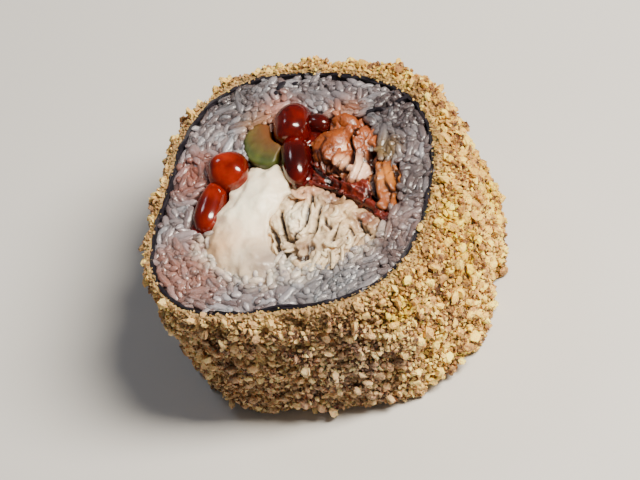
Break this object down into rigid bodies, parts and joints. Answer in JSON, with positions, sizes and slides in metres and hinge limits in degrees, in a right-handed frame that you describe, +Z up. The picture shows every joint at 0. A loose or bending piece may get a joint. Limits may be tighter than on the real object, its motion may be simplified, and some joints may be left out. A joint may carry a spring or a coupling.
{
  "type": "fried sushi roll slice",
  "caption": "Thick cut piece of a fried sushi roll lying on its cut face: a breadcrumb coat round seaweed and rice, with salmon, crab, cream cheese, cucumber and roe in the middle.",
  "frame": {"origin": "on the surface that the piece rests on, under the middle of its bounding box", "axes": "+Z up out of the upper cut face along the roll's axis; -Y is the side that faces the viewer, +X the side where the coat is thickest"},
  "size_m": [0.0528, 0.0532, 0.0283],
  "materials": {
    "fried_crumb": "dry, rough fried breadcrumb, pale gold",
    "seaweed": "damp dark green, almost black",
    "rice": "moist, slightly translucent cooked rice",
    "cream_cheese": "soft satin cream",
    "white_crab": "moist shredded fibres",
    "salmon": "moist flakes of cooked fish",
    "dark_fish": "moist dark red-brown flesh",
    "cucumber": "wet pale green flesh",
    "roe": "glossy translucent red"
  },
  "bodies": {
    "root": {"crumb_coat": "fried_crumb", "nori": "seaweed", "rice": "rice", "cream_cheese": "cream_cheese", "crab": "white_crab", "salmon": "salmon", "salmon_end": "salmon", "dark_fish": "dark_fish", "cucumber": "cucumber", "roe_left": "roe", "roe_middle": "roe"}
  },
  "joints": []
}
